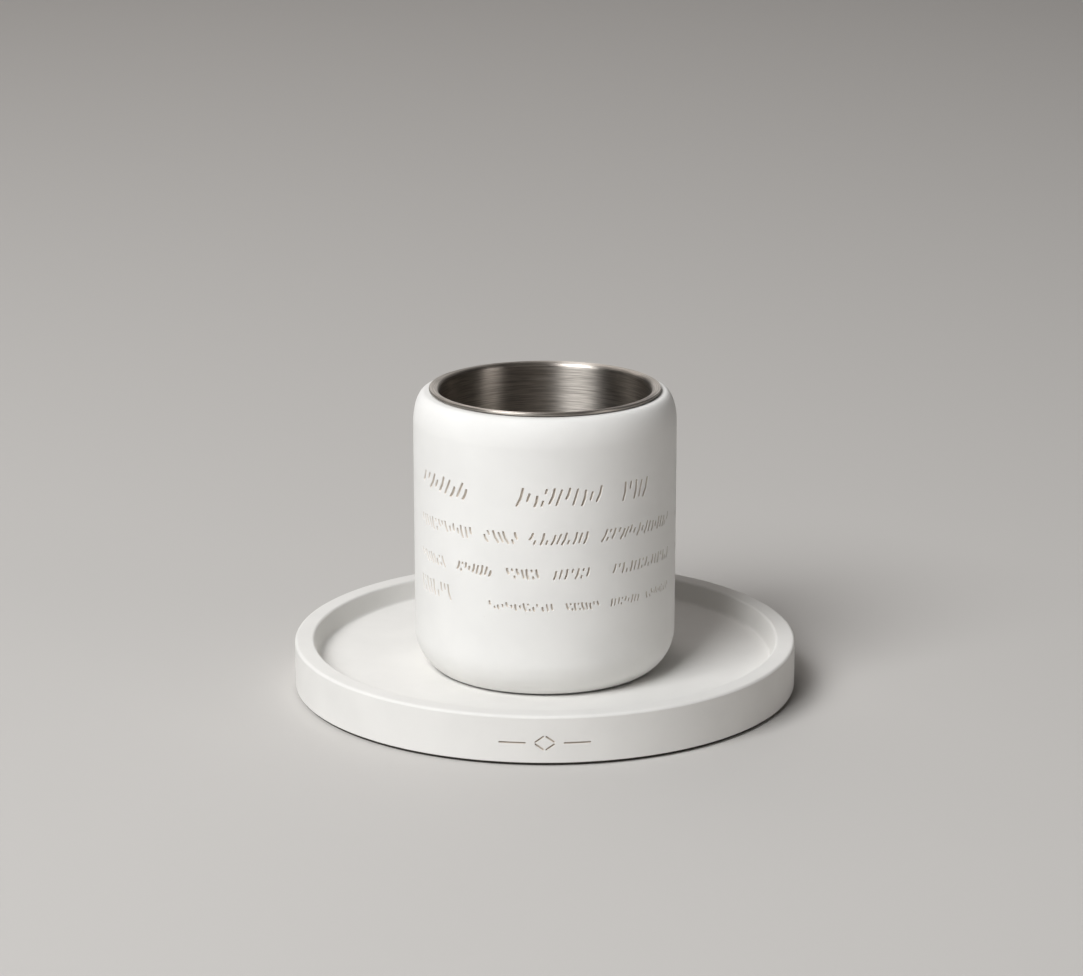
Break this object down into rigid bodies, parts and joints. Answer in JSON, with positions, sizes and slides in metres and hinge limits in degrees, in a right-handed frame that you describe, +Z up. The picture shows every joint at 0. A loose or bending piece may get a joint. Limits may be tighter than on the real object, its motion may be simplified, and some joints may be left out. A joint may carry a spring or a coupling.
{
  "type": "kiddush cup with tray",
  "caption": "Straight-sided cast cup with a rounded shoulder, an incised band and a brushed steel liner, standing in the well of a round cast tray.",
  "frame": {"origin": "middle of the tray's flat underside, on the surface it stands on", "axes": "+Z up along the common axis of the tray, the cup and the liner; -Y towards the front of the incised band; +X to the right seen from the front"},
  "size_m": [0.135, 0.135, 0.0818],
  "materials": {
    "cast_white": "fine cast white, matt",
    "brushed_steel": "stainless steel, brushed round the axis",
    "tray_white": "fine cast warm white, matt"
  },
  "bodies": {
    "root": {"cup_body": "cast_white", "steel_liner": "brushed_steel", "tray": "tray_white"}
  },
  "joints": []
}
